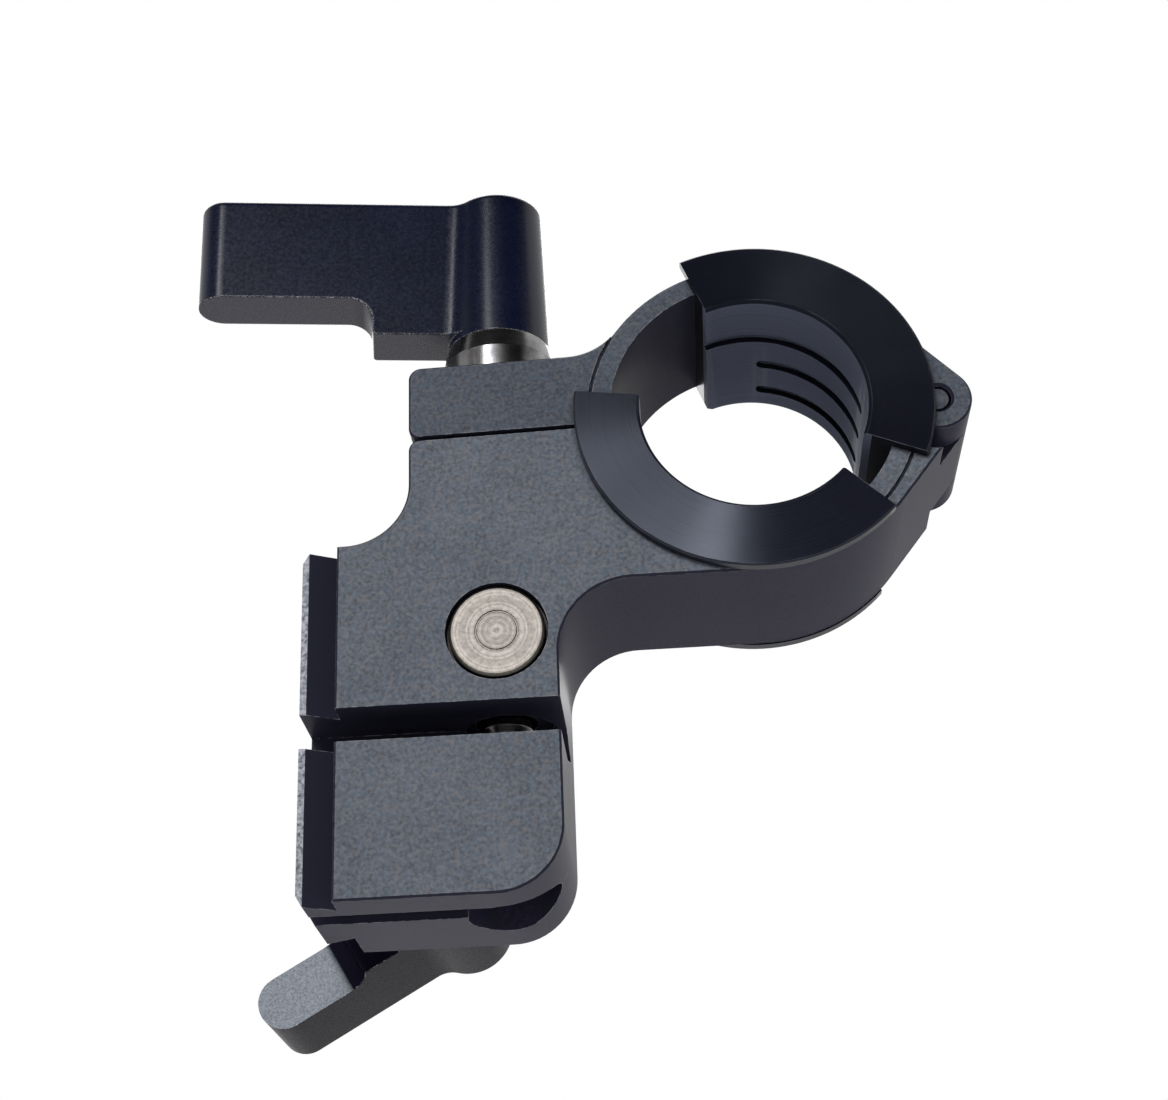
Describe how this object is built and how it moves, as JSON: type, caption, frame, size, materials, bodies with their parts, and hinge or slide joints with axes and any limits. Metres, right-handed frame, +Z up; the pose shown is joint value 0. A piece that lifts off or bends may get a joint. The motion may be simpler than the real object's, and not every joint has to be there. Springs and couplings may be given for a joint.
{
  "type": "hinged tube clamp with dovetail tongue",
  "caption": "Hinged ring clamp with split reducer liners, an L-shaped lifting lever on its ear, and an expanding dovetail tongue worked by a second lever on the back.",
  "frame": {"origin": "on the axis of the tube bore, midway between the front and back faces of the body", "axes": "+X to the hinge side, -Y out of the front face along the tube bore, +Z up through the cap along the top screw"},
  "size_m": [0.0874, 0.0471, 0.0927],
  "materials": {
    "body_anodised": "bead blasted, dark grey anodised",
    "liner_anodised": "turned, black anodised",
    "lever_coating": "black powder coat on zinc casting",
    "turned_steel": "turned, satin",
    "pin_steel": "ground",
    "screw_black": "black oxide",
    "spring_steel": "drawn wire"
  },
  "bodies": {
    "body": {"main_body": "body_anodised", "barrel_nut": "turned_steel", "lower_liner": "liner_anodised", "back_bush": "pin_steel"},
    "cap": {"cap_jaw": "body_anodised", "hinge_pin": "pin_steel", "upper_liner": "liner_anodised"},
    "jaw": {"tongue_jaw": "body_anodised", "swivel_foot": "pin_steel"},
    "top_rise": {"top_washer": "turned_steel"},
    "top_screw": {"top_stud": "pin_steel", "top_insert": "turned_steel", "top_retainer": "screw_black", "top_spring": "spring_steel"},
    "top_lever": {"top_handle": "lever_coating"},
    "lower_screw": {"lower_stud": "pin_steel", "lower_insert": "turned_steel", "lower_retainer": "screw_black", "lower_spring": "spring_steel"},
    "lower_lever": {"lower_handle": "lever_coating"}
  },
  "joints": [
    {"name": "top_rise", "type": "slide", "parent": "body", "child": "top_rise", "axis": [0, 0, 1], "range_m": [0, 0.002]},
    {"name": "top_turn", "type": "hinge", "parent": "top_rise", "child": "top_screw", "pos_m": [-0.0287, 0, 0.0147], "axis": [0, 0, 1], "range_deg": [0, 720]},
    {"name": "top_lift", "type": "slide", "parent": "top_screw", "child": "top_lever", "axis": [0, 0, 1], "range_m": [0, 0.0035], "stiffness_N_per_m": 600, "springref_m": -0.004, "deforming": ["top_spring"]},
    {"name": "cap_hinge", "type": "hinge", "parent": "body", "child": "cap", "pos_m": [0.02005, 0, -0.00035], "axis": [0, 1, 0], "range_deg": [0, 2.1]},
    {"name": "lower_turn", "type": "hinge", "parent": "body", "child": "lower_screw", "pos_m": [-0.037, 0.0161, -0.0447], "axis": [0, -1, 0], "range_deg": [0, 110]},
    {"name": "lower_lift", "type": "slide", "parent": "lower_screw", "child": "lower_lever", "axis": [0, 1, 0], "range_m": [0, 0.0035], "stiffness_N_per_m": 600, "springref_m": -0.004, "deforming": ["lower_spring"]},
    {"name": "jaw_bend", "type": "hinge", "parent": "body", "child": "jaw", "pos_m": [-0.02278, -0.0006, 0], "axis": [0, 0, 1], "range_deg": [0, 1.6]}
  ],
  "couplings": [
    {"joint": "top_rise", "follows": "top_turn", "m_per_rad": 0.00015915},
    {"joint": "cap_hinge", "follows": "top_turn", "ratio": 0.0028754},
    {"joint": "jaw_bend", "follows": "lower_turn", "ratio": 0.013691}
  ]
}
